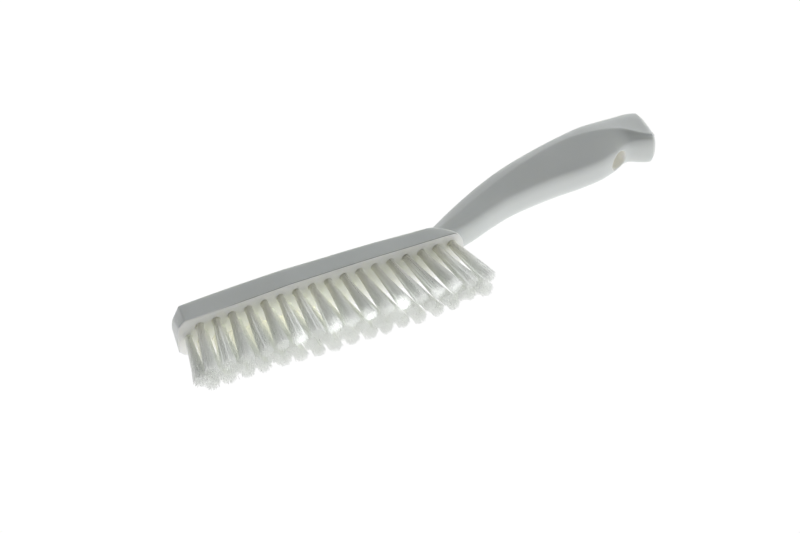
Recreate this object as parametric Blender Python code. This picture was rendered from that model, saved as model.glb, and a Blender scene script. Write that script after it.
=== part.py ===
"""Long-handled hygiene hand brush, lying on its side.

Row frame (metres): X along the brush (toe at -X, hanging end at +X), Y across the
thickness (bristles point to -Y, the back of the block and the raised grip are at +Y),
Z up = the width of the brush.  The widest part of the block rests on z = 0.
Design numbers below are millimetres in the block's own frame: x = 0 in the middle of
the block, y = 0 on the bristle face, z = 0 on the plane of symmetry.
"""
import math

import bmesh
import bpy
from mathutils import Matrix, Vector

MM = 0.001

# ---- block -----------------------------------------------------------------
BLOCK_TOE_X = -92.4
TOE_LEAN = 0.14              # the end is shorter at the back, x per y
BLOCK_HEEL_X = 90.5
HALF_WIDTH = 16.4            # flat middle of both long sides
FLAT_HALF_LENGTH = 20.0      # straight part of the long sides
TOE_CORNER = (4.0, 4.0)      # end chamfer in plan: along x, along z
TOE_DEEPER = 4.5             # how much further the corner cut reaches in at the back
CORNER_EASE = 0.9            # rounding of the two corners of that chamfer
TOE_BOW = 0.6                # the end face is slightly convex in plan
TOE_POINTS = 7               # plan points that lean with the end
# half width of the plan and thickness at the side, by station x
WIDTHS = ((-92.4, 13.5), (-76.0, 14.0), (-56.0, 14.7), (-40.0, 15.5), (-20.0, HALF_WIDTH),
          (20.0, HALF_WIDTH), (36.0, 16.2), (52.0, 15.8), (66.0, 15.6), (77.0, 15.4), (90.5, 14.8))
THICKS = ((-92.4, 13.6), (-57.0, 14.2), (-19.0, 13.5), (6.0, 12.8), (40.0, 12.2), (66.0, 11.2), (90.5, 11.0))
STATIONS = (-76.0, -62.0, -48.0, -34.0, -20.0, 20.0, 34.0, 48.0, 60.0, 70.0, 77.0, 82.0)
# rounded heel in plan, (x, z)
HEEL = ((84.8, 14.8), (86.3, 13.8), (87.6, 12.1), (89.0, 9.5), (90.1, 6.6), (90.6, 3.3))
HEEL_FROM = 70.0             # the back falls away to the heel edge from here
# levels of the block: fixed height, share of the thickness, inset, x share of the heel
LEVELS = (
    (0.00, 0.00, 0.80, 1.00),
    (0.24, 0.00, 0.24, 1.00),
    (0.80, 0.00, 0.00, 0.985),
    (0.00, 0.22, 0.00, 0.93),
    (0.00, 0.42, 0.00, 0.81),
    (0.00, 0.64, 0.00, 0.64),
    (0.00, 0.82, 0.00, 0.46),
    (-0.80, 1.00, 0.00, 0.33),
    (-0.24, 1.00, 0.24, 0.22),
    (0.00, 1.00, 0.80, 0.12),
)

# ---- tufts -----------------------------------------------------------------
RANKS = 17
PITCH = 10.07
FIRST_X = -79.4
EDGE_MARGIN = 7.4            # side of the block to the centre of the outer row
MID_DRIFT = 2.2              # the middle row stands nearer the toe at its first tufts
MID_DRIFT_FROM = -25.0       # it starts here and is full 50 mm further
END_RANK_LEAN = 1.7          # the first middle tuft leans back by this at its tip
HOLE_R = 2.30
HOLE_DEPTH = 6.5
ROOT_R = 2.00
GAP = 0.30
TUFT_SIDES = 8
FREE_LENGTH = 35.0           # outer rows
FREE_LENGTH_MID = 35.8       # middle row
FAN_LONG = 13.2              # degrees of lean along the block, at 87 mm from the middle
FAN_OFFSET = -0.9            # degrees added to every lean, towards the toe
FAN_SIDE = -3.0              # degrees of lean of the outer rows, negative = inwards
TIP_R = 3.4                  # radius of the bundle at the cut tips
BENT_RANKS = 2               # last tufts of the lower row, bent in by wear
BENT_IN = 2.5                # how far their tips stand inwards
BENT_SHORT = 1.0             # how much lower they stand
ROWS = ("upper", "middle", "lower")

# ---- grip ------------------------------------------------------------------
# station x, back y, back half width, shoulder y, shoulder half width,
# underside y, underside half width, lean of the section (x per y)
GRIP = (
    (58.0, 9.0, 7.0, 7.4, 8.6, 6.4, 8.4, 0.0),
    (68.0, 13.0, 7.2, 9.6, 9.6, 7.2, 8.8, 0.0),
    (80.0, 19.2, 7.4, 13.2, 10.2, 8.0, 9.0, 0.0),
    (92.0, 25.8, 7.6, 18.0, 10.5, 8.8, 9.0, 0.0),
    (104.0, 32.0, 7.8, 23.6, 10.7, 11.8, 8.9, 0.0),
    (118.0, 38.6, 8.1, 30.0, 10.9, 16.6, 8.7, 0.0),
    (134.0, 44.8, 8.8, 36.2, 11.6, 21.2, 8.7, 0.0),
    (150.0, 49.6, 9.5, 41.8, 12.4, 23.8, 8.8, 0.0),
    (168.0, 53.7, 10.3, 46.4, 13.2, 25.5, 8.9, 0.0),
    (186.0, 57.2, 10.8, 50.0, 13.6, 26.0, 8.8, 0.0),
    (202.0, 59.7, 10.8, 50.4, 13.8, 27.7, 8.8, 0.0),
    (214.0, 60.6, 9.8, 49.2, 13.4, 31.3, 8.8, 0.0),
    (224.5, 61.1, 8.8, 46.6, 12.6, 35.6, 8.8, 0.02),
    (230.0, 61.3, 8.5, 42.6, 12.2, 35.2, 9.4, 0.05),
    (236.0, 61.2, 8.2, 38.4, 11.6, 33.0, 10.0, 0.09),
    (241.7, 59.6, 8.0, 35.2, 11.0, 31.3, 9.9, 0.12),
    (243.6, 56.8, 6.6, 35.4, 9.6, 32.6, 8.6, 0.13),
)
SUB_STEPS = 2                # smooth sections added between two stations
HANG_X = 215.8
HANG_R = 6.0
HANG_RIM = 0.9               # eased rim on the back of the grip

# ---- placing of the row frame ----------------------------------------------
SHIFT_X = -74.08
SHIFT_Y = -12.69
SHIFT_Z = HALF_WIDTH


def wipe():
    for ob in list(bpy.data.objects):
        bpy.data.objects.remove(ob, do_unlink=True)


def material(name, colour, roughness, metallic=0.0):
    mat = bpy.data.materials.new(name)
    mat.use_nodes = True
    bsdf = mat.node_tree.nodes["Principled BSDF"]
    bsdf.inputs["Base Color"].default_value = (*colour, 1.0)
    bsdf.inputs["Roughness"].default_value = roughness
    bsdf.inputs["Metallic"].default_value = metallic
    mat.diffuse_color = (*colour, 1.0)
    return mat


def to_row(x, y, z):
    return Vector(((x + SHIFT_X) * MM, (y + SHIFT_Y) * MM, (z + SHIFT_Z) * MM))


def finish_mesh(name, bm, mat=None, smooth=False):
    bmesh.ops.recalc_face_normals(bm, faces=bm.faces)
    mesh = bpy.data.meshes.new(name)
    bm.to_mesh(mesh)
    bm.free()
    ob = bpy.data.objects.new(name, mesh)
    bpy.context.scene.collection.objects.link(ob)
    if mat:
        mesh.materials.append(mat)
    for poly in mesh.polygons:
        poly.use_smooth = smooth
    return ob


def apply_modifiers(ob):
    bpy.context.view_layer.update()
    graph = bpy.context.evaluated_depsgraph_get()
    mesh = bpy.data.meshes.new_from_object(ob.evaluated_get(graph))
    old = ob.data
    ob.modifiers.clear()
    ob.data = mesh
    mesh.name = ob.name
    bpy.data.meshes.remove(old)


def combine(ob, other, operation):
    mod = ob.modifiers.new("combine", "BOOLEAN")
    mod.object = other
    mod.operation = operation
    mod.solver = "EXACT"
    apply_modifiers(ob)
    bpy.data.objects.remove(other, do_unlink=True)


def loft(name, sections, mat=None):
    """Closed skin over equal-length rings of points, capped at both ends."""
    bm = bmesh.new()
    rings = [[bm.verts.new(to_row(*p)) for p in ring] for ring in sections]
    count = len(rings[0])
    for a, b in zip(rings, rings[1:]):
        for i in range(count):
            j = (i + 1) % count
            bm.faces.new((a[i], a[j], b[j], b[i]))
    bm.faces.new(rings[0])
    bm.faces.new(list(reversed(rings[-1])))
    return finish_mesh(name, bm, mat)


def between(table, x):
    """Smooth value of a (station, value) table at x."""
    if x <= table[0][0]:
        return table[0][1]
    for (xa, va), (xb, vb) in zip(table, table[1:]):
        if x <= xb:
            return va + (vb - va) * (x - xa) / (xb - xa)
    return table[-1][1]


def half_width(x):
    return between(WIDTHS, x)


def thickness(x):
    return between(THICKS, x)


def plan_outline(share):
    """Half plan of the block on the +z side, from the toe to the heel, at a share of the
    thickness from the bristle face; the toe's corner is cut deeper towards the back."""
    toe_in = BLOCK_TOE_X + TOE_CORNER[0]
    wide = half_width(toe_in)
    narrow = wide - TOE_CORNER[1] - TOE_DEEPER * share
    ease = CORNER_EASE
    diag = ease / math.sqrt(2.0)
    points = [(BLOCK_TOE_X - TOE_BOW, 0.45 * narrow), (BLOCK_TOE_X, narrow - ease),
              (BLOCK_TOE_X + 0.22 * ease, narrow - 0.1 * ease),
              (BLOCK_TOE_X + diag, narrow + diag),
              (toe_in - diag, wide - diag),
              (toe_in + 0.1 * ease, wide - 0.22 * ease),
              (toe_in + ease, wide)]
    points += [(x, half_width(x)) for x in STATIONS]
    return points + list(HEEL)


def inset_point(points, i, amount):
    """Point i moved inward by amount; the end points move along x only."""
    x, z = points[i]
    xa, za = points[i - 1] if i else (points[0][0], -points[0][1])
    xb, zb = points[i + 1] if i + 1 < len(points) else (points[-1][0], -points[-1][1])
    d1 = Vector((x - xa, z - za)).normalized()
    d2 = Vector((xb - x, zb - z)).normalized()
    n = Vector((d1.y + d2.y, -d1.x - d2.x)).normalized()
    grow = 1.0 / max(0.6, n.dot(Vector((d1.y, -d1.x))))
    return x + n.x * amount * grow, z + n.y * amount * grow


def make_block(mat):
    count = len(plan_outline(0.0))
    bm = bmesh.new()
    rings = []
    for fixed, share, inset, heel in LEVELS:
        outline = plan_outline(share)
        half = []
        for i in range(count):
            x, z = outline[i]
            y = fixed + share * thickness(x)
            x, z = inset_point(outline, i, inset)
            if i < TOE_POINTS:
                x += TOE_LEAN * y
            if x > HEEL_FROM:
                x = HEEL_FROM + (x - HEEL_FROM) * heel
            half.append((x, y, z))
        ring = half + [(x, y, -z) for x, y, z in reversed(half)]
        rings.append([bm.verts.new(to_row(*p)) for p in ring])
    total = 2 * count
    for a, b in zip(rings, rings[1:]):
        for i in range(total):
            j = (i + 1) % total
            bm.faces.new((a[i], a[j], b[j], b[i]))
    bm.faces.new(rings[0])
    top = rings[-1]
    for i in range(count - 1):
        bm.faces.new((top[i], top[total - 1 - i], top[total - 2 - i], top[i + 1]))
    return finish_mesh("block_base", bm, mat)


def grip_row(k):
    return GRIP[max(0, min(len(GRIP) - 1, k))]


def grip_between(i, t):
    """Catmull-Rom value of every column between station i and i + 1."""
    p0, p1, p2, p3 = (grip_row(i + k) for k in (-1, 0, 1, 2))
    out = []
    for a, b, c, d in zip(p0, p1, p2, p3):
        out.append(0.5 * (2 * b + (c - a) * t + (2 * a - 5 * b + 4 * c - d) * t * t
                          + (3 * b - a - 3 * c + d) * t ** 3))
    out[0] = p1[0] + (p2[0] - p1[0]) * t
    return out


def grip_ring(row):
    x, yb, zb, ys, zs, yu, zu, lean = row
    half = (
        (yb + 0.55, 0.0),
        (yb + 0.35, zb * 0.55),
        (yb - 0.30, zb * 0.90),
        (yb - 1.60, zb + (zs - zb) * 0.30),
        (ys + 0.70, zs - 0.18),
        (ys - 1.10, zs),
        (ys + (yu - ys) * 0.55, zs + (zu - zs) * 0.45),
        (yu + 1.7, zu + 0.25),
        (yu + 0.1, zu - 1.1),
        (yu - 1.1, zu * 0.55),
        (yu - 1.5, 0.0),
    )
    centre = 0.5 * (yb + yu)
    ring = [(x + lean * (y - centre), y, z) for y, z in half]
    ring += [(x + lean * (y - centre), y, -z) for y, z in reversed(half[1:-1])]
    return ring


def make_grip(mat):
    rings = []
    for i in range(len(GRIP) - 1):
        steps = SUB_STEPS if i < len(GRIP) - 2 else 1
        for k in range(steps):
            rings.append(grip_ring(grip_between(i, k / steps) if k else GRIP[i]))
    rings.append(grip_ring(GRIP[-1]))
    return loft("grip_base", rings, mat)


def prism(bm, base, axis, levels, sides, turn):
    """Round column: levels are (distance along axis, radius)."""
    axis = axis.normalized()
    side = axis.cross(Vector((0, 0, 1))).normalized()
    up = side.cross(axis).normalized()
    rings = []
    for dist, radius in levels:
        ring = []
        for k in range(sides):
            a = 2 * math.pi * (k + turn) / sides
            p = base + axis * dist + side * (radius * math.cos(a)) + up * (radius * math.sin(a))
            ring.append(bm.verts.new(to_row(*p)))
        rings.append(ring)
    for a, b in zip(rings, rings[1:]):
        for i in range(sides):
            j = (i + 1) % sides
            bm.faces.new((a[i], a[j], b[j], b[i]))
    bm.faces.new(rings[0])
    bm.faces.new(list(reversed(rings[-1])))


def tuft_places():
    """(row, rank, x, z) of every tuft; row 0 is at +z, row 2 at -z, and the middle row
    stands half a pitch nearer the toe."""
    out = []
    for rank in range(RANKS):
        for row in range(3):
            x = FIRST_X + rank * PITCH
            if row == 1:
                x -= PITCH / 2
                x -= MID_DRIFT * max(0.0, min(1.0, (MID_DRIFT_FROM - x) / 50.0))
            outer = half_width(x) - EDGE_MARGIN
            out.append((row, rank, x, outer * (1 - row)))
    return out


def is_bent(row, rank):
    return row == 2 and rank >= RANKS - BENT_RANKS


def tuft_axis(row, rank, x, z):
    lean = math.tan(math.radians(FAN_LONG * x / 87.0 + FAN_OFFSET))
    side = math.tan(math.radians(FAN_SIDE) * z / (HALF_WIDTH - EDGE_MARGIN))
    if is_bent(row, rank):
        side += BENT_IN / FREE_LENGTH
    if row == 1 and rank == 0:
        lean += END_RANK_LEAN / FREE_LENGTH
    return Vector((lean, -1.0, side)).normalized()


def reach_of(row, rank):
    reach = FREE_LENGTH_MID if row == 1 else FREE_LENGTH
    return reach - BENT_SHORT if is_bent(row, rank) else reach


def tip_centre(row, rank, x, z):
    axis = tuft_axis(row, rank, x, z)
    return Vector((x, z)) + Vector((axis.x, axis.z)) * (reach_of(row, rank) / -axis.y)


def tip_radius(place, places):
    """The full radius, or what the nearest bundle leaves room for."""
    here = tip_centre(*place)
    nearest = min((tip_centre(*other) - here).length for other in places if other != place)
    return min(TIP_R, 0.5 * (nearest - GAP))


def make_tufts(mat):
    places = tuft_places()
    for place in places:
        row, rank, x, z = place
        axis = tuft_axis(row, rank, x, z)
        levels = ((-(HOLE_DEPTH - GAP), ROOT_R), (0.6, ROOT_R), (reach_of(row, rank) / -axis.y, tip_radius(place, places)))
        bm = bmesh.new()
        prism(bm, Vector((x, 0.0, z)), axis, levels, TUFT_SIDES, 0.5)
        finish_mesh("tuft_%s_%02d" % (ROWS[row], rank + 1), bm, mat, smooth=True)


def make_body(mat):
    body = make_block(mat)
    body.name = "brush_body"
    combine(body, make_grip(mat), "UNION")

    holes = bmesh.new()
    for row, rank, x, z in tuft_places():
        axis = tuft_axis(row, rank, x, z)
        prism(holes, Vector((x, 0.0, z)), axis, ((-HOLE_DEPTH, HOLE_R), (2.0, HOLE_R)), TUFT_SIDES, 0.5)
    combine(body, finish_mesh("hole_cutter", holes), "DIFFERENCE")

    hang = bmesh.new()
    top = between([(row[0], row[1]) for row in GRIP], HANG_X)
    prism(hang, Vector((HANG_X, 0.0, 0.0)), Vector((0, 1, 0)),
          ((20.0, HANG_R), (top - 1.1 * HANG_RIM, HANG_R), (top - 0.25 * HANG_RIM, HANG_R + 0.3 * HANG_RIM),
           (top + 0.6, HANG_R + 1.1 * HANG_RIM), (70.0, HANG_R + 2.0 * HANG_RIM)), 24, 0.0)
    combine(body, finish_mesh("hang_cutter", hang), "DIFFERENCE")
    body.data.name = "brush_body"
    return body


def main():
    wipe()
    body_mat = material("moulded_body", (0.86, 0.87, 0.85), 0.35)
    tuft_mat = material("tuft_filament", (0.86, 0.85, 0.78), 0.45)
    make_body(body_mat)
    make_tufts(tuft_mat)
    for ob in bpy.data.objects:
        ob.select_set(False)


main()
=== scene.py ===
import math
import random

import bmesh
import bpy
from mathutils import Matrix, Vector
from mathutils.bvhtree import BVHTree


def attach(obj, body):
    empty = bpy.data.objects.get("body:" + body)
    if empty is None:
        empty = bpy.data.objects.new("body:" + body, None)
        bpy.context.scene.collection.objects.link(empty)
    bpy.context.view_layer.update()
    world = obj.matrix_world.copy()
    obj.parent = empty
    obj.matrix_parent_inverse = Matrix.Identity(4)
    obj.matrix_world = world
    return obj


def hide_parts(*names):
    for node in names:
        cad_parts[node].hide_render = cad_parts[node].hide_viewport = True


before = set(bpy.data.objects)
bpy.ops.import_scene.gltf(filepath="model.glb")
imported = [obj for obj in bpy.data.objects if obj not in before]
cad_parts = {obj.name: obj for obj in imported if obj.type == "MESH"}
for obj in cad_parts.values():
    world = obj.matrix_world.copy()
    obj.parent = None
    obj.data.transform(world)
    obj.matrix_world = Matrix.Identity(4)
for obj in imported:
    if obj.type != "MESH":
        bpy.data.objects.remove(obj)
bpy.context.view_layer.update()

MM = 0.001

# The block's own frame (x = 0 middle of the block, y = 0 bristle face, z = 0 plane of
# symmetry), in millimetres, sits in the row frame by this shift.
SHIFT = Vector((-74.08, -12.69, 16.4))


def row(x, y, z):
    return Vector(((x + SHIFT.x) * MM, (y + SHIFT.y) * MM, (z + SHIFT.z) * MM))


# ------------------------------------------------------------------ camera
def make_camera():
    cam = bpy.data.cameras.new("camera")
    ob = bpy.data.objects.new("camera", cam)
    bpy.context.scene.collection.objects.link(ob)
    right = Vector((0.89082789, -0.45356244, 0.0265853)).normalized()
    forward = Vector((0.35245312, 0.65294707, -0.67040057)).normalized()
    up = right.cross(forward).normalized()
    turn = Matrix((right, up, -forward)).transposed()
    ob.matrix_world = Matrix.Translation(Vector((-544.3411, -973.0528, 1004.9899)) * MM) @ turn.to_4x4()
    cam.sensor_fit = "HORIZONTAL"
    cam.sensor_width = 36.0
    cam.lens = 113.0567
    cam.clip_start = 0.05
    cam.clip_end = 60.0
    bpy.context.scene.camera = ob


make_camera()


# ------------------------------------------------------------------ node helpers
class Net:
    """Short hand for building a node tree."""

    def __init__(self, tree):
        self.tree = tree

    def add(self, kind, **props):
        node = self.tree.nodes.new(kind)
        for key, value in props.items():
            setattr(node, key, value)
        return node

    def link(self, a, b):
        self.tree.links.new(a, b)

    def set(self, socket, value):
        if isinstance(value, bpy.types.NodeSocket):
            self.link(value, socket)
        else:
            socket.default_value = value

    def math(self, op, a, b=None, c=None, clamp=False):
        node = self.add("ShaderNodeMath", operation=op, use_clamp=clamp)
        for socket, value in zip(node.inputs, (a, b, c)):
            if value is not None:
                self.set(socket, value)
        return node.outputs[0]

    def noise(self, vector, scale, detail=4.0, rough=0.5, distortion=0.0):
        node = self.add("ShaderNodeTexNoise")
        self.link(vector, node.inputs["Vector"])
        node.inputs["Scale"].default_value = scale
        node.inputs["Detail"].default_value = detail
        node.inputs["Roughness"].default_value = rough
        node.inputs["Distortion"].default_value = distortion
        return node.outputs["Fac"]

    def remap(self, value, a, b, c, d, smooth=True):
        node = self.add("ShaderNodeMapRange", interpolation_type="SMOOTHSTEP" if smooth else "LINEAR")
        self.set(node.inputs["Value"], value)
        for name, number in (("From Min", a), ("From Max", b), ("To Min", c), ("To Max", d)):
            node.inputs[name].default_value = number
        return node.outputs["Result"]

    def mix(self, fac, a, b, blend="MIX"):
        node = self.add("ShaderNodeMix", data_type="RGBA", blend_type=blend)
        self.set(node.inputs[0], fac)
        for socket, value in ((node.inputs[6], a), (node.inputs[7], b)):
            self.set(socket, value if isinstance(value, bpy.types.NodeSocket) else (*value, 1.0))
        return node.outputs[2]


def new_material(name):
    mat = bpy.data.materials.new(name)
    mat.use_nodes = True
    net = Net(mat.node_tree)
    return mat, net, mat.node_tree.nodes["Principled BSDF"]


def body_material():
    """White injection-moulded polypropylene: satin, with faint flow marks, fine grain and a few hairline scuffs.
    Painted light brightens the bristle face, the tuft hole walls and the inside of the hang hole; a line of painted
    shade runs along the edge of the bristle face."""
    mat, net, bsdf = new_material("moulded_white")
    pos = net.add("ShaderNodeTexCoord").outputs["Object"]
    cloudy = net.noise(pos, 18.0, 3.0, 0.55, 0.4)
    flow_map = net.add("ShaderNodeMapping")
    flow_map.inputs["Scale"].default_value = (14.0, 60.0, 60.0)
    net.link(pos, flow_map.inputs["Vector"])
    flow = net.noise(flow_map.outputs[0], 1.0, 4.0, 0.6, 0.8)
    tone = net.mix(net.remap(cloudy, 0.3, 0.7, 0.0, 1.0), (0.722, 0.751, 0.737), (0.752, 0.775, 0.763))
    tone = net.mix(net.remap(flow, 0.45, 0.8, 0.0, 0.35), tone, (0.712, 0.736, 0.725))
    parts = net.add("ShaderNodeSeparateXYZ")
    net.link(pos, parts.inputs[0])
    # painted light: the bristle face and the walls of the tuft holes are painted a lighter cream tone
    face_painted_light = net.remap(parts.outputs[1], (SHIFT.y + 0.05) * MM, (SHIFT.y + 0.9) * MM, 1.0, 0.0)
    hole_walls_painted_light = net.remap(parts.outputs[1], (SHIFT.y + 6.6) * MM, (SHIFT.y + 7.0) * MM, 1.0, 0.0)
    middle = net.math("ABSOLUTE", net.math("SUBTRACT", parts.outputs[2], SHIFT.z * MM))
    middle = net.math("ADD", middle, net.remap(parts.outputs[0], (SHIFT.x - 82.0) * MM, (SHIFT.x - 64.0) * MM, 2.6 * MM, 0.0))
    hole_walls_painted_light = net.math("MULTIPLY", hole_walls_painted_light, net.remap(middle, 11.9 * MM, 12.3 * MM, 1.0, 0.0))
    hole_walls_painted_light = net.math("MULTIPLY", hole_walls_painted_light, net.remap(parts.outputs[0], (SHIFT.x - 90.6) * MM, (SHIFT.x - 90.2) * MM, 0.0, 1.0))
    hole_walls_painted_light = net.math("MULTIPLY", hole_walls_painted_light, net.remap(parts.outputs[0], (SHIFT.x + 84.6) * MM, (SHIFT.x + 85.0) * MM, 1.0, 0.0))
    tone = net.mix(net.math("MAXIMUM", face_painted_light, hole_walls_painted_light), tone, (0.985, 0.988, 0.955))
    # painted shade: a dark line along the rounded edge between the long sides and the bristle face, fading towards the
    # toe
    normal = net.add("ShaderNodeSeparateXYZ")
    net.link(net.add("ShaderNodeNewGeometry").outputs["Normal"], normal.inputs[0])
    slant = net.math("MULTIPLY", net.math("ABSOLUTE", normal.outputs[2]), net.math("MULTIPLY", normal.outputs[1], -2.0))
    line = net.remap(slant, 0.72, 0.97, 0.0, 1.0)
    line = net.math("MULTIPLY", line, net.remap(parts.outputs[1], (SHIFT.y + 0.8) * MM, (SHIFT.y + 1.0) * MM, 1.0, 0.0))
    line = net.math("MULTIPLY", line, net.remap(parts.outputs[0], (SHIFT.x - 80.0) * MM, (SHIFT.x - 45.0) * MM, 0.0, 0.9))
    tone = net.mix(line, tone, (0.38, 0.39, 0.38))
    # painted light: the inside of the hang hole is painted a lighter, warmer tone
    bore = net.add("ShaderNodeVectorMath", operation="DISTANCE")
    flat = net.add("ShaderNodeCombineXYZ")
    net.link(parts.outputs[0], flat.inputs[0])
    net.link(parts.outputs[2], flat.inputs[2])
    net.link(flat.outputs[0], bore.inputs[0])
    bore.inputs[1].default_value = ((HANG_X + SHIFT.x) * MM, 0.0, SHIFT.z * MM)
    bore_painted_light = net.remap(bore.outputs["Value"], (HANG_R + 0.2) * MM, (HANG_R + 0.9) * MM, 1.0, 0.0)
    tone = net.mix(bore_painted_light, tone, (0.91, 0.905, 0.87))
    net.link(tone, bsdf.inputs["Base Color"])
    grain = net.noise(pos, 2600.0, 2.0, 0.5)
    ripple = net.noise(pos, 130.0, 3.0, 0.5, 0.2)
    scuff_map = net.add("ShaderNodeMapping")
    scuff_map.inputs["Scale"].default_value = (40.0, 900.0, 900.0)
    scuff_map.inputs["Rotation"].default_value = (0.3, 0.2, 0.12)
    net.link(pos, scuff_map.inputs["Vector"])
    scuff = net.remap(net.noise(scuff_map.outputs[0], 1.0, 5.0, 0.65), 0.62, 0.80, 0.0, 1.0)
    rough = net.math("ADD", net.remap(ripple, 0.25, 0.75, 0.34, 0.42), net.math("MULTIPLY", scuff, 0.10))
    net.link(rough, bsdf.inputs["Roughness"])
    bump = net.add("ShaderNodeBump")
    bump.inputs["Strength"].default_value = 0.25
    bump.inputs["Distance"].default_value = 0.00012
    height = net.math("ADD", net.math("MULTIPLY", grain, 0.25), net.math("MULTIPLY", ripple, 0.9))
    height = net.math("SUBTRACT", height, net.math("MULTIPLY", scuff, 0.15))
    net.link(height, bump.inputs["Height"])
    net.link(bump.outputs[0], bsdf.inputs["Normal"])
    bsdf.inputs["IOR"].default_value = 1.49
    bsdf.inputs["Subsurface Weight"].default_value = 0.5
    bsdf.inputs["Subsurface Scale"].default_value = 0.003
    bsdf.inputs["Subsurface Radius"].default_value = (1.0, 0.98, 0.85)
    return mat


def filament_material():
    """Translucent off-white synthetic filament: most of the light scatters through it, the rest off it; slightly warmer
    near the roots, which is painted shade deep in the bundle, less of it in the middle row. Where the painted_glow
    attribute is set it glows: painted light."""
    mat, net, bsdf = new_material("filament")
    pos = net.add("ShaderNodeTexCoord").outputs["Object"]
    streak_map = net.add("ShaderNodeMapping")
    streak_map.inputs["Scale"].default_value = (700.0, 30.0, 700.0)
    net.link(pos, streak_map.inputs["Vector"])
    streak = net.noise(streak_map.outputs[0], 1.0, 3.0, 0.6)
    root = net.add("ShaderNodeSeparateXYZ")
    net.link(pos, root.inputs[0])
    # painted shade: the filaments are tinted warmer and darker towards the roots, less in the middle row
    depth = net.remap(root.outputs[1], (SHIFT.y - 27.0) * MM, (SHIFT.y + 0.5) * MM, 0.0, 1.0)
    inner = net.math("ABSOLUTE", net.math("SUBTRACT", root.outputs[2], SHIFT.z * MM))
    depth = net.math("MULTIPLY", depth, net.remap(inner, 2.5 * MM, 4.5 * MM, 0.3, 1.0))
    pale = net.mix(net.remap(streak, 0.3, 0.7, 0.0, 1.0), (0.996, 0.998, 0.993), (0.999, 1.0, 0.998))
    tone = net.mix(net.math("MULTIPLY", depth, 0.8), pale, FILAMENT_ROOT_SHADE)
    net.link(tone, bsdf.inputs["Base Color"])
    net.link(net.remap(streak, 0.2, 0.8, 0.10, 0.22), bsdf.inputs["Roughness"])
    bsdf.inputs["IOR"].default_value = 1.50
    # painted light: filaments glow where the painted_glow attribute is set (upper-row tips, a few bright strands,
    # inner-row roots)
    painted_glow = net.add("ShaderNodeAttribute", attribute_name="painted_glow").outputs["Fac"]
    net.link(net.math("MULTIPLY", painted_glow, net.remap(streak, 0.2, 0.8, 6.0, 8.0)), bsdf.inputs["Emission Strength"])
    bsdf.inputs["Emission Color"].default_value = (0.965, 0.985, 1.0, 1.0)
    through = net.add("ShaderNodeBsdfTranslucent")
    net.link(tone, through.inputs["Color"])
    both = net.add("ShaderNodeMixShader")
    both.inputs[0].default_value = FILAMENT_THROUGH
    net.link(bsdf.outputs[0], both.inputs[1])
    net.link(through.outputs[0], both.inputs[2])
    net.link(both.outputs[0], mat.node_tree.nodes["Material Output"].inputs["Surface"])
    return mat


def strand_material():
    """A few clear filaments on the outside of the bundles catch the light as thin lines."""
    mat, net, bsdf = new_material("filament_clear")
    pos = net.add("ShaderNodeTexCoord").outputs["Object"]
    streak = net.noise(pos, 260.0, 3.0, 0.6)
    net.link(net.mix(net.remap(streak, 0.3, 0.7, 0.0, 1.0), (0.985, 0.99, 0.98), (1.0, 1.0, 0.995)), bsdf.inputs["Base Color"])
    net.link(net.remap(streak, 0.2, 0.8, 0.03, 0.10), bsdf.inputs["Roughness"])
    bsdf.inputs["IOR"].default_value = 1.50
    bsdf.inputs["Transmission Weight"].default_value = 1.0
    return mat


def cut_end_material():
    """The cut end of a filament: whitened and rough, it scatters the light. Where the painted_glow attribute is set it
    glows: painted light.
    """
    mat, net, bsdf = new_material("filament_cut_end")
    pos = net.add("ShaderNodeTexCoord").outputs["Object"]
    speck = net.noise(pos, 1500.0, 2.0, 0.6)
    net.link(net.mix(net.remap(speck, 0.3, 0.7, 0.0, 1.0), (0.86, 0.88, 0.86), (0.92, 0.94, 0.92)), bsdf.inputs["Base Color"])
    net.link(net.remap(speck, 0.3, 0.7, 0.45, 0.65), bsdf.inputs["Roughness"])
    # painted light: the cut ends glow by the painted_glow attribute
    painted_glow = net.add("ShaderNodeAttribute", attribute_name="painted_glow").outputs["Fac"]
    net.link(net.math("MULTIPLY", painted_glow, net.remap(speck, 0.3, 0.7, 1.3, 1.7)), bsdf.inputs["Emission Strength"])
    bsdf.inputs["Emission Color"].default_value = (0.965, 0.985, 1.0, 1.0)
    through = net.add("ShaderNodeBsdfTranslucent")
    through.inputs["Color"].default_value = (0.97, 0.98, 0.96, 1.0)
    both = net.add("ShaderNodeMixShader")
    both.inputs[0].default_value = 0.4
    net.link(bsdf.outputs[0], both.inputs[1])
    net.link(through.outputs[0], both.inputs[2])
    net.link(both.outputs[0], mat.node_tree.nodes["Material Output"].inputs["Surface"])
    return mat


# ------------------------------------------------------------------ body shape
BLOCK_TOE_X, TOE_LEAN, TOE_BOW, TOE_DEEPER = -92.4, 0.14, 0.6, 4.5
HALF_WIDTH = 16.4
WIDTHS = ((-92.4, 13.5), (-76.0, 14.0), (-56.0, 14.7), (-40.0, 15.5), (-20.0, HALF_WIDTH),
          (20.0, HALF_WIDTH), (36.0, 16.2), (52.0, 15.8), (66.0, 15.6), (77.0, 15.4), (90.5, 14.8))
THICKS = ((-92.4, 13.6), (-57.0, 14.2), (-19.0, 13.5), (6.0, 12.8), (40.0, 12.2), (66.0, 11.2), (90.5, 11.0))
HEEL = ((84.8, 14.8), (86.3, 13.8), (87.6, 12.1), (89.0, 9.5), (90.1, 6.6), (90.6, 3.3))
HEEL_FROM = 70.0
HEEL_FALL = ((0.0, 1.0), (0.073, 0.985), (0.22, 0.93), (0.42, 0.81), (0.64, 0.64), (0.82, 0.46), (0.93, 0.33),
             (0.98, 0.22), (1.0, 0.12))
BLOCK_EDGE = 0.8

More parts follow.
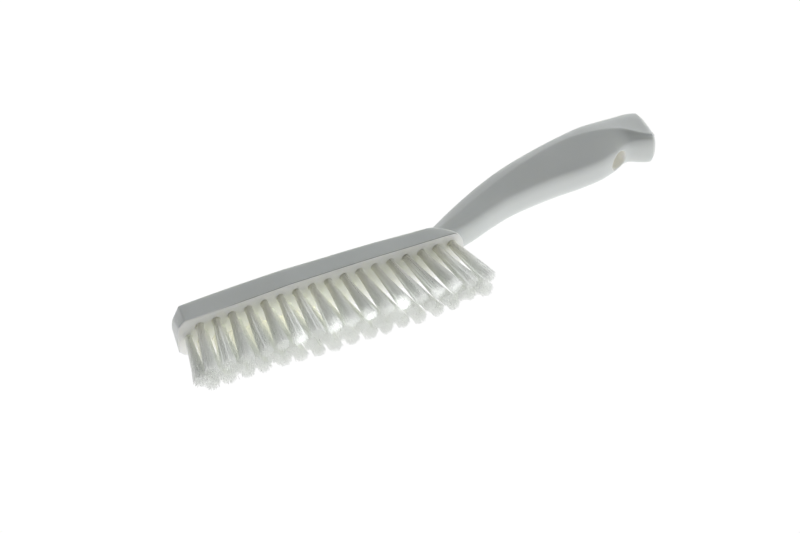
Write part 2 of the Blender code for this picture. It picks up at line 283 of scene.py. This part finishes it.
GRIP = (
    (58.0, 9.0, 7.0, 7.4, 8.6, 6.4, 8.4, 0.0),
    (68.0, 13.0, 7.2, 9.6, 9.6, 7.2, 8.8, 0.0),
    (80.0, 19.2, 7.4, 13.2, 10.2, 8.0, 9.0, 0.0),
    (92.0, 25.8, 7.6, 18.0, 10.5, 8.8, 9.0, 0.0),
    (104.0, 32.0, 7.8, 23.6, 10.7, 11.8, 8.9, 0.0),
    (118.0, 38.6, 8.1, 30.0, 10.9, 16.6, 8.7, 0.0),
    (134.0, 44.8, 8.8, 36.2, 11.6, 21.2, 8.7, 0.0),
    (150.0, 49.6, 9.5, 41.8, 12.4, 23.8, 8.8, 0.0),
    (168.0, 53.7, 10.3, 46.4, 13.2, 25.5, 8.9, 0.0),
    (186.0, 57.2, 10.8, 50.0, 13.6, 26.0, 8.8, 0.0),
    (202.0, 59.7, 10.8, 50.4, 13.8, 27.7, 8.8, 0.0),
    (214.0, 60.6, 9.8, 49.2, 13.4, 31.3, 8.8, 0.0),
    (224.5, 61.1, 8.8, 46.6, 12.6, 35.6, 8.8, 0.02),
    (230.0, 61.3, 8.5, 42.6, 12.2, 35.2, 9.4, 0.05),
    (236.0, 61.2, 8.2, 38.4, 11.6, 33.0, 10.0, 0.09),
    (241.7, 59.6, 8.0, 35.2, 11.0, 31.3, 9.9, 0.12),
    (243.6, 56.8, 6.6, 35.4, 9.6, 32.6, 8.6, 0.13),
)
HANG_X, HANG_R = 215.8, 6.0

RANKS, PITCH, FIRST_X, EDGE_MARGIN = 17, 10.07, -79.4, 7.4
MID_DRIFT, MID_DRIFT_FROM = 2.2, -25.0
HOLE_R = 2.30
HOLE_SEEN = 2.4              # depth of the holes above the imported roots
FREE_LENGTH, FREE_LENGTH_MID = 35.0, 35.6
FAN_LONG, FAN_OFFSET, FAN_SIDE = 13.2, -0.9, -3.0
END_RANK_LEAN = 1.7
BENT_RANKS, BENT_IN, BENT_SHORT = 2, 2.5, 1.0
ROWS = ("upper", "middle", "lower")


def between(table, x):
    if x <= table[0][0]:
        return table[0][1]
    for (xa, va), (xb, vb) in zip(table, table[1:]):
        if x <= xb:
            return va + (vb - va) * (x - xa) / (xb - xa)
    return table[-1][1]


def curved(table, x):
    """Smooth (Catmull-Rom) value of a table at x."""
    n = len(table)
    for i in range(n - 1):
        if x <= table[i + 1][0] or i == n - 2:
            break
    a, b, c, d = (table[max(0, min(n - 1, i + k))][1] for k in (-1, 0, 1, 2))
    t = (x - table[i][0]) / (table[i + 1][0] - table[i][0])
    t = max(0.0, min(1.0, t))
    return 0.5 * (2 * b + (c - a) * t + (2 * a - 5 * b + 4 * c - d) * t * t + (3 * b - a - 3 * c + d) * t ** 3)


def half_width(x):
    return curved(WIDTHS, x) if abs(x) > 20.0 else HALF_WIDTH


def tuft_half_width(x):
    return between(WIDTHS, x)


def thickness(x):
    return curved(THICKS, x)


def mesh_object(name, bm, mat=None, smooth=True):
    bmesh.ops.recalc_face_normals(bm, faces=bm.faces)
    mesh = bpy.data.meshes.new(name)
    bm.to_mesh(mesh)
    bm.free()
    ob = bpy.data.objects.new(name, mesh)
    bpy.context.scene.collection.objects.link(ob)
    if mat:
        mesh.materials.append(mat)
    mesh.polygons.foreach_set("use_smooth", [smooth] * len(mesh.polygons))
    return ob


def apply_modifiers(ob):
    bpy.context.view_layer.update()
    graph = bpy.context.evaluated_depsgraph_get()
    mesh = bpy.data.meshes.new_from_object(ob.evaluated_get(graph))
    old = ob.data
    ob.modifiers.clear()
    ob.data = mesh
    mesh.name = ob.name
    bpy.data.meshes.remove(old)


def combine(ob, other, operation):
    mod = ob.modifiers.new("combine", "BOOLEAN")
    mod.object = other
    mod.operation = operation
    mod.solver = "EXACT"
    apply_modifiers(ob)
    bpy.data.objects.remove(other, do_unlink=True)


def smooth_points(points, parts):
    """Open Catmull-Rom polyline through 2-D points."""
    out = []
    n = len(points)
    for i in range(n - 1):
        a, b, c, d = (Vector(points[max(0, min(n - 1, i + k))]) for k in (-1, 0, 1, 2))
        for k in range(parts):
            t = k / parts
            out.append(0.5 * (2 * b + (c - a) * t + (2 * a - 5 * b + 4 * c - d) * t * t + (3 * b - a - 3 * c + d) * t ** 3))
    out.append(Vector(points[-1]))
    return out


def arc_corner(corner, before, after, radius, parts):
    """Points of a round corner between two straight edges (2-D)."""
    u = (Vector(before) - Vector(corner)).normalized()
    v = (Vector(after) - Vector(corner)).normalized()
    half = 0.5 * math.acos(max(-1.0, min(1.0, u.dot(v))))
    reach = radius / math.tan(half)
    centre = Vector(corner) + (u + v).normalized() * radius / math.sin(half)
    a = Vector(corner) + u * reach - centre
    b = Vector(corner) + v * reach - centre
    turn = math.atan2(a.x * b.y - a.y * b.x, a.dot(b))
    out = []
    for k in range(parts + 1):
        w = turn * k / parts
        out.append(centre + Vector((a.x * math.cos(w) - a.y * math.sin(w), a.x * math.sin(w) + a.y * math.cos(w))))
    return out


def plan_outline(share):
    """Half plan of the block on the +z side at a share of the thickness: (x, z, leans with
    the toe, belongs to the heel). The toe's corner is cut deeper towards the back."""
    toe_in = BLOCK_TOE_X + 4.0
    wide = half_width(toe_in)
    narrow = wide - 4.0 - TOE_DEEPER * share
    c1 = (BLOCK_TOE_X, narrow)
    c2 = (toe_in, wide)
    pts = [((BLOCK_TOE_X - TOE_BOW, 1.2)), (BLOCK_TOE_X - TOE_BOW * 0.85, 0.45 * narrow)]
    pts += arc_corner(c1, pts[-1], c2, 2.2, 4)
    pts += arc_corner(c2, c1, (toe_in + 8.0, half_width(toe_in + 8.0)), 1.6, 4)
    out = [(p[0], p[1], True, False) for p in pts]
    x = -82.0
    while x < 83.0:
        out.append((x, half_width(x), False, x > HEEL_FROM))
        x += 2.0
    for p in smooth_points([(83.0, half_width(83.0))] + list(HEEL), 3):
        out.append((p[0], p[1], False, True))
    return out


def block_levels():
    """(fixed height, share of the thickness, inset)."""
    e = BLOCK_EDGE
    levels = []
    for deg in (0.0, 22.5, 45.0, 67.5, 90.0):
        a = math.radians(deg)
        levels.append((e * (1 - math.cos(a)), 0.0, e * (1 - math.sin(a))))
    levels += [(0.0, s, 0.0) for s in (0.14, 0.22, 0.32, 0.42, 0.53, 0.64, 0.73, 0.82)]
    for deg in (90.0, 67.5, 45.0, 22.5, 0.0):
        a = math.radians(deg)
        levels.append((-e * (1 - math.cos(a)), 1.0, e * (1 - math.sin(a))))
    return levels


def make_block():
    count = len(plan_outline(0.0))
    bm = bmesh.new()
    rings = []
    for fixed, share, inset in block_levels():
        outline = plan_outline(share)
        half = []
        for i in range(count):
            x, z, toe, heel = outline[i]
            y = fixed + share * thickness(x)
            xa, za = outline[i - 1][:2] if i else (outline[0][0], -outline[0][1])
            xb, zb = outline[i + 1][:2] if i + 1 < count else (outline[-1][0], -outline[-1][1])
            along = Vector((xb - xa, zb - za)).normalized()
            x += along.y * inset
            z -= along.x * inset
            if toe:
                x += TOE_LEAN * y
            if heel and x > HEEL_FROM:
                s = curved(HEEL_FALL, y / thickness(x))
                x = HEEL_FROM + (x - HEEL_FROM) * s
            half.append((x, y, z))
        ring = half + [(x, y, -z) for x, y, z in reversed(half)]
        rings.append([bm.verts.new(row(*p)) for p in ring])
    total = 2 * count
    for a, b in zip(rings, rings[1:]):
        for i in range(total):
            j = (i + 1) % total
            bm.faces.new((a[i], a[j], b[j], b[i]))
    bm.faces.new(rings[0])
    top = rings[-1]
    for i in range(count - 1):
        bm.faces.new((top[i], top[total - 1 - i], top[total - 2 - i], top[i + 1]))
    return mesh_object("block", bm)


def grip_values(i, t):
    out = []
    rows = [GRIP[max(0, min(len(GRIP) - 1, i + k))] for k in (-1, 0, 1, 2)]
    for a, b, c, d in zip(*rows):
        out.append(0.5 * (2 * b + (c - a) * t + (2 * a - 5 * b + 4 * c - d) * t * t
                          + (3 * b - a - 3 * c + d) * t ** 3))
    out[0] = rows[1][0] + (rows[2][0] - rows[1][0]) * t
    return out


def grip_ring(values):
    x, yb, zb, ys, zs, yu, zu, lean = values
    half = (
        (yb + 0.55, 0.0), (yb + 0.35, zb * 0.55), (yb - 0.30, zb * 0.90), (yb - 1.60, zb + (zs - zb) * 0.30),
        (ys + 0.70, zs - 0.18), (ys - 1.10, zs), (ys + (yu - ys) * 0.55, zs + (zu - zs) * 0.45),
        (yu + 1.7, zu + 0.25), (yu + 0.1, zu - 1.1), (yu - 1.1, zu * 0.55), (yu - 1.5, 0.0),
    )
    ring = [Vector(p) for p in half] + [Vector((y, -z)) for y, z in reversed(half[1:-1])]
    centre = 0.5 * (yb + yu)
    n = len(ring)
    out = []
    for i in range(n):
        a, b, c, d = (ring[(i + k) % n] for k in (-1, 0, 1, 2))
        # centripetal spacing keeps the tight corners from bulging
        t0 = 0.0
        t1 = t0 + max(1e-6, (b - a).length) ** 0.5
        t2 = t1 + max(1e-6, (c - b).length) ** 0.5
        t3 = t2 + max(1e-6, (d - c).length) ** 0.5
        parts = 5
        for k in range(parts):
            t = t1 + (t2 - t1) * k / parts
            a1 = a * ((t1 - t) / (t1 - t0)) + b * ((t - t0) / (t1 - t0))
            a2 = b * ((t2 - t) / (t2 - t1)) + c * ((t - t1) / (t2 - t1))
            a3 = c * ((t3 - t) / (t3 - t2)) + d * ((t - t2) / (t3 - t2))
            b1 = a1 * ((t2 - t) / (t2 - t0)) + a2 * ((t - t0) / (t2 - t0))
            b2 = a2 * ((t3 - t) / (t3 - t1)) + a3 * ((t - t1) / (t3 - t1))
            p = b1 * ((t2 - t) / (t2 - t1)) + b2 * ((t - t1) / (t2 - t1))
            out.append((x + lean * (p.x - centre), p.x, p.y))
    return out


def make_grip():
    bm = bmesh.new()
    rings = []
    last = len(GRIP) - 1
    for i in range(last):
        length = GRIP[i + 1][0] - GRIP[i][0]
        steps = max(3, round(length / 1.5))
        for k in range(steps):
            rings.append(grip_ring(grip_values(i, k / steps)))
    rings.append(grip_ring(GRIP[last]))
    made = [[bm.verts.new(row(*p)) for p in ring] for ring in rings]
    n = len(made[0])
    for a, b in zip(made, made[1:]):
        for i in range(n):
            j = (i + 1) % n
            bm.faces.new((a[i], a[j], b[j], b[i]))
    bm.faces.new(made[0])
    # domed end: two shrinking rings and a cap
    ring = rings[-1]
    cx = sum(p[0] for p in ring) / n
    cy = sum(p[1] for p in ring) / n
    prev = made[-1]
    for share, grow in ((0.93, 0.35), (0.80, 0.55), (0.5, 0.7)):
        new = [bm.verts.new(row(p[0] + grow, cy + (p[1] - cy) * share, p[2] * share)) for p in ring]
        for i in range(n):
            j = (i + 1) % n
            bm.faces.new((prev[i], prev[j], new[j], new[i]))
        prev = new
    bm.faces.new(list(reversed(prev)))
    return mesh_object("grip", bm)


def column(bm, base, axis, levels, sides, turn=0.0):
    axis = axis.normalized()
    side = axis.cross(Vector((0, 0, 1))).normalized()
    up = side.cross(axis).normalized()
    rings = []
    for dist, radius in levels:
        rings.append([bm.verts.new(row(*(base + axis * dist + side * (radius * math.cos(2 * math.pi * (k + turn) / sides))
                                         + up * (radius * math.sin(2 * math.pi * (k + turn) / sides))))) for k in range(sides)])
    for a, b in zip(rings, rings[1:]):
        for i in range(sides):
            j = (i + 1) % sides
            bm.faces.new((a[i], a[j], b[j], b[i]))
    bm.faces.new(rings[0])
    bm.faces.new(list(reversed(rings[-1])))


def hang_cutter(grip):
    """Bore with both mouths eased, following the surface around each mouth."""
    bm = bmesh.new()
    bm.from_mesh(grip.data)
    tree = BVHTree.FromBMesh(bm)
    bm.free()
    sides = 72
    cutter = bmesh.new()
    rings = []

    def surface(a, radius, down):
        x = HANG_X + radius * math.cos(a)
        z = radius * math.sin(a)
        start = row(x, 100.0 if down else 0.0, z)
        hit = tree.ray_cast(start, Vector((0, -1 if down else 1, 0)))
        if hit[0] is None:
            return 60.0 if down else 30.0
        return hit[0].y / MM - SHIFT.y

    plan = []
    rim = 1.0
    for down in (False, True):
        steps = []
        for deg in (0.0, 22.5, 45.0, 67.5, 90.0):
            a = math.radians(deg)
            steps.append((rim * (1 - math.cos(a)), rim * (1 - math.sin(a))))
        plan.append(steps)
    # from below the underside up to the back
    lower = list(reversed(plan[0]))
    for grow, depth in [(rim * 1.6, -2.5)] + lower:
        ring = []
        for k in range(sides):
            a = 2 * math.pi * k / sides
            y = surface(a, HANG_R + rim, False)
            r = HANG_R + (grow if depth >= 0 else rim * 1.6)
            ring.append(cutter.verts.new(row(HANG_X + r * math.cos(a), y + depth, r * math.sin(a))))
        rings.append(ring)
    for grow, depth in plan[1] + [(rim * 1.6, -2.5)]:
        ring = []
        for k in range(sides):
            a = 2 * math.pi * k / sides
            y = surface(a, HANG_R + rim, True)
            r = HANG_R + (grow if depth >= 0 else rim * 1.6)
            ring.append(cutter.verts.new(row(HANG_X + r * math.cos(a), y - depth, r * math.sin(a))))
        rings.append(ring)
    for a, b in zip(rings, rings[1:]):
        for i in range(sides):
            j = (i + 1) % sides
            cutter.faces.new((a[i], a[j], b[j], b[i]))
    cutter.faces.new(rings[0])
    cutter.faces.new(list(reversed(rings[-1])))
    return mesh_object("hang_cutter", cutter)


def tuft_places():
    """Row 0 is the upper one, 1 the middle one, half a pitch nearer the toe, 2 the lower one."""
    out = []
    for rank in range(RANKS):
        for line in range(3):
            x = FIRST_X + rank * PITCH
            if line == 1:
                x -= PITCH / 2
                x -= MID_DRIFT * max(0.0, min(1.0, (MID_DRIFT_FROM - x) / 50.0))
            outer = tuft_half_width(x) - EDGE_MARGIN
            out.append((line, rank, x, outer * (1 - line)))
    return out


def is_bent(line, rank):
    return line == 2 and rank >= RANKS - BENT_RANKS


def tuft_axis(line, rank, x, z):
    lean = math.tan(math.radians(FAN_LONG * x / 87.0 + FAN_OFFSET))
    side = math.tan(math.radians(FAN_SIDE) * z / (HALF_WIDTH - EDGE_MARGIN))
    if is_bent(line, rank):
        side += BENT_IN / FREE_LENGTH
    if line == 1 and rank == 0:
        lean += END_RANK_LEAN / FREE_LENGTH
    return Vector((lean, -1.0, side)).normalized()


def make_body(mat):
    grip = make_grip()
    hang = hang_cutter(grip)
    body = make_block()
    body.name = "moulded_body"
    combine(body, grip, "UNION")
    holes = bmesh.new()
    for line, rank, x, z in tuft_places():
        axis = tuft_axis(line, rank, x, z)
        wide, ease = (HOLE_R, 0.22) if line == 0 else (ROOT_R + 0.03, 0.0)
        column(holes, Vector((x, 0.0, z)), axis,
               ((-HOLE_SEEN, wide), (-0.25, wide), (0.02, wide + ease), (2.0, wide + 3.5 * ease)), 20)
    combine(body, mesh_object("hole_cutter", holes), "DIFFERENCE")
    combine(body, hang, "DIFFERENCE")
    mesh = body.data
    mesh.name = "moulded_body"
    mesh.materials.clear()
    mesh.materials.append(mat)
    mesh.polygons.foreach_set("use_smooth", [True] * len(mesh.polygons))
    mesh.set_sharp_from_angle(angle=math.radians(28.0))
    return body


# ------------------------------------------------------------------ filaments
# colour of the painted shade near the roots
FILAMENT_ROOT_SHADE = (0.999, 0.9975, 0.986)
FILAMENT_THROUGH = 0.88
# painted highlight: a glow painted at the tips of the upper row; share by rank
TIP_PAINTED_GLOW = (0.0, 0.0, 0.0, 0.005, 0.02, 0.12, 0.0, 0.15, 0.045, 0.15, 0.03, 0.24, 0.025, 0.08, 0.08, 0.0, 0.0)
# painted light: a faint glow painted near the roots of the inner rows; share by rank
ROOT_PAINTED_GLOW = (0.007, 0.012, 0.013, 0.015, 0.018, 0.021, 0.024, 0.024, 0.022, 0.018, 0.013, 0.009, 0.006, 0.004, 0.002, 0.0, 0.0)
FILAMENTS = 95
FILAMENT_R = 0.205
FILAMENT_SIDES = 8
FILAMENT_STEPS = 6
ROOT_R, TIP_R = 2.22, 4.25


def add_filament(verts, faces, points, radius, turn):
    base = len(verts)
    sides = FILAMENT_SIDES
    direction = (points[-1] - points[0]).normalized()
    side = direction.cross(Vector((0, 0, 1))).normalized()
    up = side.cross(direction).normalized()
    for i, p in enumerate(points):
        r = radius * (1.0 + 0.16 * i / (len(points) - 1))
        for k in range(sides):
            a = turn + 2 * math.pi * k / sides
            q = p + side * (r * math.cos(a)) + up * (r * math.sin(a))
            verts.append(row(q.x, q.y, q.z))
    for i in range(len(points) - 1):
        for k in range(sides):
            j = (k + 1) % sides
            a = base + i * sides
            b = a + sides
            faces.append((a + k, b + k, b + j, a + j))
    end = base + (len(points) - 1) * sides
    faces.append(tuple(base + k for k in range(sides)))
    faces.append(tuple(end + k for k in reversed(range(sides))))


def tuft_mesh(rng, line, rank, x, z, verts, faces):
    axis = tuft_axis(line, rank, x, z)
    base = Vector((x, 0.0, z))
    side = axis.cross(Vector((0, 0, 1))).normalized()
    up = side.cross(axis).normalized()
    reach = FREE_LENGTH_MID if line == 1 else FREE_LENGTH
    if is_bent(line, rank):
        reach -= BENT_SHORT
    golden = math.pi * (3 - math.sqrt(5))
    clear, light = [], []
    # painted highlight: glow share at the tips of this upper-row tuft
    glow = TIP_PAINTED_GLOW[rank] if line == 0 else 0.0
    # painted light: glow share near the roots of this inner-row tuft
    inner = ROOT_PAINTED_GLOW[rank] if line else 0.0
    full = 1.15 if rank < 12 else 1.15 - 0.11 * (rank - 11)
    turn = rng.uniform(0, 2 * math.pi)
    lean = side * rng.gauss(0, 0.35) + up * rng.gauss(0, 0.35)
    spread_all = rng.uniform(0.93, 1.08)
    for k in range(FILAMENTS):
        share = math.sqrt((k + 0.5) / FILAMENTS)
        a = turn + golden * k
        u, v = math.cos(a), math.sin(a)
        r0 = (ROOT_R - FILAMENT_R) * share
        stray = rng.random() < 0.025
        r1 = TIP_R * share * spread_all * rng.uniform(0.96, 1.04)
        loose = 0.9 if stray else 0.16
        extra = side * rng.gauss(0, loose) + up * rng.gauss(0, loose)
        length = (reach + rng.gauss(0, 0.07) - (rng.uniform(0, 0.9) if stray else 0.0)) / -axis.y
        wave = side * rng.gauss(0, 0.06) + up * rng.gauss(0, 0.06)
        points = []
        for i in range(FILAMENT_STEPS + 1):
            t = i / FILAMENT_STEPS
            dist = -1.5 + (length + 1.5) * t
            grow = max(0.0, dist) / length
            r = r0 + (r1 - r0) * grow ** full
            p = base + axis * dist + side * (r * u) + up * (r * v)
            p += (lean + extra) * grow * grow + wave * math.sin(math.pi * grow)
            points.append(p)
        clear.append(k > 0.6 * FILAMENTS and rng.random() < 0.015)
        # painted highlight: a few outer filaments of the upper row glow along most of their length as bright lines
        painted_glint = share > 0.85 and line == 0 and rng.random() < 0.07
        # the painted glow at the tips is patchy and leans to one side of its tuft
        patch = 0.45 + 0.9 * ((math.sin(12.9898 * k + 78.233 * rank) * 43758.5453) % 1.0)
        patch *= max(0.15, min(1.3, 0.85 + 0.9 * share * math.cos(golden * k - 1.3 * rank)))
        for i in range(FILAMENT_STEPS + 1):
            t = i / FILAMENT_STEPS
            value = glow * max(0.0, min(1.0, (t - 0.84) / 0.16)) * (1.0 - 0.6 * share ** 3) * patch
            value = max(value, inner * max(0.0, 1.0 - t / 0.7))
            if painted_glint:
                value = max(value, 0.16 * max(0.0, min(1.0, (t - 0.15) / 0.3)))
            light += [value] * FILAMENT_SIDES
        add_filament(verts, faces, points, FILAMENT_R * rng.uniform(0.88, 1.10), rng.uniform(0, 2.1))
    return clear, light


def make_tufts(side_mat, end_mat, clear_mat):
    rng = random.Random(20784)
    pieces = []
    for line, rank, x, z in tuft_places():
        verts, faces = [], []
        clear, light = tuft_mesh(rng, line, rank, x, z, verts, faces)
        name = "tuft_%s_%02d" % (ROWS[line], rank + 1)
        pieces.append((name, verts, faces, clear, light))
    made = []
    for name, verts, faces, clear, light in pieces:
        mesh = bpy.data.meshes.new("filaments_" + name)
        mesh.from_pydata(verts, [], faces)
        mesh.attributes.new("painted_glow", "FLOAT", "POINT").data.foreach_set("value", light)
        ends = [len(p.vertices) == FILAMENT_SIDES for p in mesh.polygons]
        mesh.polygons.foreach_set("use_smooth", [False] * len(ends))
        each = len(faces) // FILAMENTS
        mesh.polygons.foreach_set("material_index", [1 if e else 2 if clear[i // each] else 0 for i, e in enumerate(ends)])
        mesh.materials.append(side_mat)
        mesh.materials.append(end_mat)
        mesh.materials.append(clear_mat)
        mesh.update()
        ob = bpy.data.objects.new("filaments_" + name, mesh)
        bpy.context.scene.collection.objects.link(ob)
        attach(ob, "root")
        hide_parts(name)
        made.append(ob)
    return made


# ------------------------------------------------------------------ stage and light
def make_floor():
    bm = bmesh.new()
    bmesh.ops.create_grid(bm, x_segments=1, y_segments=1, size=6.0)
    floor = mesh_object("floor", bm)
    floor.location.z = -0.0005
    mat = bpy.data.materials.new("floor_white")
    mat.use_nodes = True
    nodes = mat.node_tree.nodes
    nodes.clear()
    out = nodes.new("ShaderNodeOutputMaterial")
    glow = nodes.new("ShaderNodeEmission")
    glow.inputs["Color"].default_value = (1.0, 1.0, 1.0, 1.0)
    glow.inputs["Strength"].default_value = 1.02
    mat.node_tree.links.new(glow.outputs[0], out.inputs["Surface"])
    floor.data.materials.append(mat)


def make_world():
    world = bpy.data.worlds.new("studio")
    bpy.context.scene.world = world
    world.use_nodes = True
    net = Net(world.node_tree)
    back = world.node_tree.nodes["Background"]
    direction = net.add("ShaderNodeTexCoord").outputs["Generated"]
    parts = net.add("ShaderNodeSeparateXYZ")
    net.link(direction, parts.inputs[0])
    height = parts.outputs[2]
    # bright band around the horizon, dim overhead
    sky = net.remap(height, 0.05, 0.75, 1.18, 0.20)

    def towards(vector, a, b, c, d):
        dot = net.add("ShaderNodeVectorMath", operation="DOT_PRODUCT")
        net.link(direction, dot.inputs[0])
        dot.inputs[1].default_value = vector
        return net.remap(dot.outputs["Value"], a, b, c, d)

    # dark room behind the camera, dim wall at the toe, soft box high at the back
    level = net.math("MULTIPLY", sky, towards((-0.36, -0.62, 0.70), 0.73, 0.96, 1.0, 0.06))
    level = net.math("MULTIPLY", level, towards((-0.80, 0.10, 0.59), 0.28, 0.80, 1.0, 0.10))
    level = net.math("ADD", level, towards((0.42, 0.68, 0.60), 0.52, 0.98, 0.0, 0.72))
    net.link(level, back.inputs["Strength"])
    back.inputs["Color"].default_value = (0.985, 1.0, 1.0, 1.0)


make_floor()
make_world()
bpy.context.scene.view_settings.view_transform = "Standard"
bpy.context.scene.cycles.max_bounces = 128
bpy.context.scene.cycles.diffuse_bounces = 64
bpy.context.scene.cycles.glossy_bounces = 64
bpy.context.scene.cycles.transmission_bounces = 128

body_mat = body_material()
body = make_body(body_mat)
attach(body, "root")
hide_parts("brush_body")

make_tufts(filament_material(), cut_end_material(), strand_material())

bpy.context.view_layer.update()
